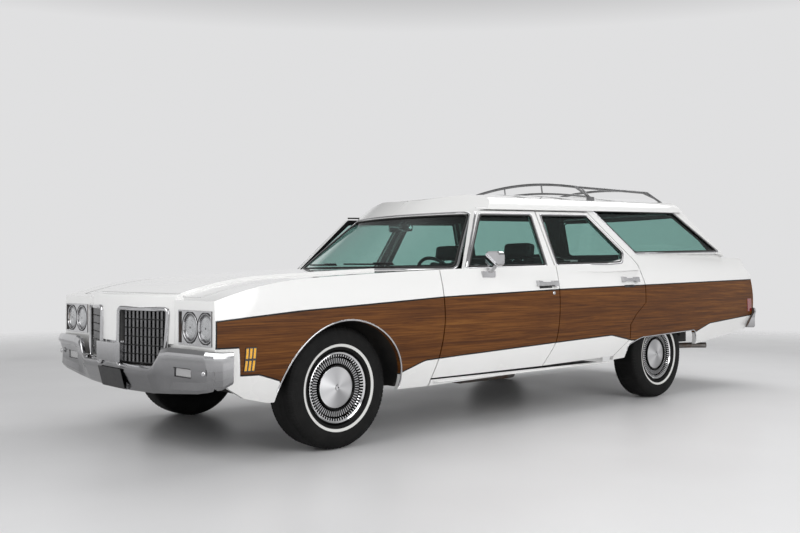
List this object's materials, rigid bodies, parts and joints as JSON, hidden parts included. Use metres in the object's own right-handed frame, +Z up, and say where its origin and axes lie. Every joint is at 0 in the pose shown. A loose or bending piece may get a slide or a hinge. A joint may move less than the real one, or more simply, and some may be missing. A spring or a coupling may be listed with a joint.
{
  "type": "station wagon",
  "caption": "Full-size station wagon with wood-look side panels, roof rack, chrome bumpers, opening doors and hood, and steered, freely turning wheels.",
  "frame": {"origin": "on the ground under the car's mid-length, on its centre line", "axes": "+X to the car's left (driver's) side, +Y to the rear, +Z up; the front faces -Y"},
  "size_m": [2.0769, 5.723, 1.7529],
  "materials": {
    "body_white": "gloss",
    "chrome_trim": "polished",
    "frame_black": "satin",
    "cabin_vinyl": "grained",
    "engine_iron": "painted",
    "exhaust_steel": "dull",
    "window_glass": "tinted",
    "tank_steel": "satin",
    "cast_parts": "rough",
    "lamp_lens": "ribbed lens",
    "rack_tube": "gloss",
    "seat_vinyl": "grained",
    "tyre_rubber": "treaded",
    "wheel_cover": "polished"
  },
  "bodies": {
    "body": {"body_sides": "body_white", "bumper_front": "chrome_trim", "bumper_rear": "chrome_trim", "chassis_frame": "frame_black", "cowl": "body_white", "dashboard": "cabin_vinyl", "engine": "engine_iron", "exhaust": "exhaust_steel", "fender_left": "body_white", "fender_right": "body_white", "fixed_glass": "window_glass", "floor_pan": "frame_black", "fuel_tank": "tank_steel", "grilles": "chrome_trim", "inner_fenders": "frame_black", "lamps": "lamp_lens", "nose_panel": "body_white", "quarter_left": "body_white", "quarter_right": "body_white", "rear_axle": "cast_parts", "roof": "body_white", "roof_rack": "rack_tube", "seats": "seat_vinyl", "tailgate": "body_white"},
    "door_front_left": {"door_front_left": "body_white", "glass_front_left": "window_glass", "mirror_left": "chrome_trim"},
    "door_front_right": {"door_front_right": "body_white", "glass_front_right": "window_glass"},
    "door_rear_left": {"door_rear_left": "body_white", "glass_rear_left": "window_glass"},
    "door_rear_right": {"door_rear_right": "body_white", "glass_rear_right": "window_glass"},
    "hood": {"hood": "body_white"},
    "steering_left": {"knuckle_left": "cast_parts"},
    "steering_right": {"knuckle_right": "cast_parts"},
    "steering_wheel": {"steering_wheel": "cabin_vinyl"},
    "wheel_front_left": {"wheel_front_left": "wheel_cover", "tyre_front_left": "tyre_rubber"},
    "wheel_front_right": {"wheel_front_right": "wheel_cover", "tyre_front_right": "tyre_rubber"},
    "wheel_rear_left": {"wheel_rear_left": "wheel_cover", "tyre_rear_left": "tyre_rubber"},
    "wheel_rear_right": {"wheel_rear_right": "wheel_cover", "tyre_rear_right": "tyre_rubber"}
  },
  "joints": [
    {"name": "door_front_left_hinge", "type": "hinge", "parent": "body", "child": "door_front_left", "pos_m": [0.994, -1.1425, 0.7], "axis": [0, 0, 1], "range_deg": [-65, 0]},
    {"name": "door_front_right_hinge", "type": "hinge", "parent": "body", "child": "door_front_right", "pos_m": [-0.994, -1.1425, 0.7], "axis": [0, 0, 1], "range_deg": [0, 65]},
    {"name": "door_rear_left_hinge", "type": "hinge", "parent": "body", "child": "door_rear_left", "pos_m": [1, -0.0355, 0.7], "axis": [0, 0, 1], "range_deg": [-70, 0]},
    {"name": "door_rear_right_hinge", "type": "hinge", "parent": "body", "child": "door_rear_right", "pos_m": [-1, -0.0355, 0.7], "axis": [0, 0, 1], "range_deg": [0, 70]},
    {"name": "hood_hinge", "type": "hinge", "parent": "body", "child": "hood", "pos_m": [0, -1.2665, 0.976], "axis": [1, 0, 0], "range_deg": [-55, 0]},
    {"name": "steer_left", "type": "hinge", "parent": "body", "child": "steering_left", "pos_m": [0.716, -1.9065, 0.345], "axis": [0, 0, 1], "range_deg": [-32, 32]},
    {"name": "steer_right", "type": "hinge", "parent": "body", "child": "steering_right", "pos_m": [-0.716, -1.9065, 0.345], "axis": [0, 0, 1], "range_deg": [-32, 32]},
    {"name": "steering_wheel_turn", "type": "hinge", "parent": "body", "child": "steering_wheel", "pos_m": [0.38, -0.6165, 0.925], "axis": [0, 0.8829, 0.4695], "range_deg": [-515, 515]},
    {"name": "wheel_front_left_spin", "type": "hinge", "parent": "steering_left", "child": "wheel_front_left", "pos_m": [0.814, -1.9065, 0.345], "axis": [1, 0, 0], "continuous": true},
    {"name": "wheel_front_right_spin", "type": "hinge", "parent": "steering_right", "child": "wheel_front_right", "pos_m": [-0.814, -1.9065, 0.345], "axis": [1, 0, 0], "continuous": true},
    {"name": "wheel_rear_left_spin", "type": "hinge", "parent": "body", "child": "wheel_rear_left", "pos_m": [0.814, 1.3195, 0.345], "axis": [1, 0, 0], "continuous": true},
    {"name": "wheel_rear_right_spin", "type": "hinge", "parent": "body", "child": "wheel_rear_right", "pos_m": [-0.814, 1.3195, 0.345], "axis": [1, 0, 0], "continuous": true}
  ],
  "couplings": [
    {"joint": "steer_right", "follows": "steer_left", "ratio": 1},
    {"joint": "steering_wheel_turn", "follows": "steer_left", "ratio": 16}
  ]
}
